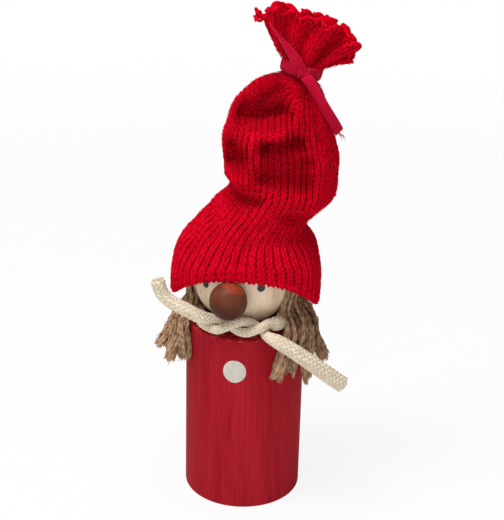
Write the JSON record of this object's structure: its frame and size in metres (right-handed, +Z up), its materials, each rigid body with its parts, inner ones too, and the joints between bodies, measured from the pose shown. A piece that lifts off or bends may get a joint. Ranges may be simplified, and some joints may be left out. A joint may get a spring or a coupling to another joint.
{
  "type": "christmas gnome figure",
  "caption": "Standing gnome figure with a turned wooden body, ball head and ball nose, yarn hair, a knotted cord scarf and a tall knitted hat that lifts off.",
  "frame": {"origin": "centre of the round flat base of the body block", "axes": "+Z up along the body block's axis, -Y toward the side that the face looks to, +X to the viewer's right"},
  "size_m": [0.0845, 0.0632, 0.211],
  "materials": {
    "body_red": "matte red stain",
    "dot_white": "matte off-white paint",
    "bare_wood": "bare",
    "head_wood": "sanded and sealed, matte",
    "nose_brown": "brown stain, satin lacquer",
    "eye_black": "dark paint",
    "hair_jute": "loose jute fibre",
    "scarf_cotton": "braided cotton",
    "hat_knit": "ribbed wool knit",
    "ribbon_red": "narrow woven ribbon"
  },
  "bodies": {
    "figure": {"body_block": "body_red", "button_dot": "dot_white", "neck_dowel": "bare_wood", "head_ball": "head_wood", "nose_ball": "nose_brown", "nose_peg": "bare_wood", "eye_dot_left": "eye_black", "eye_dot_right": "eye_black", "hair_strand_1": "hair_jute", "hair_strand_2": "hair_jute", "hair_strand_3": "hair_jute", "hair_strand_4": "hair_jute", "hair_strand_5": "hair_jute", "scarf_cord": "scarf_cotton"},
    "hat": {"knit_hat": "hat_knit", "tie_ribbon": "ribbon_red"}
  },
  "joints": [
    {"name": "hat_lift", "type": "slide", "parent": "figure", "child": "hat", "axis": [0, 0, 1], "range_m": [0, 0.05]}
  ]
}
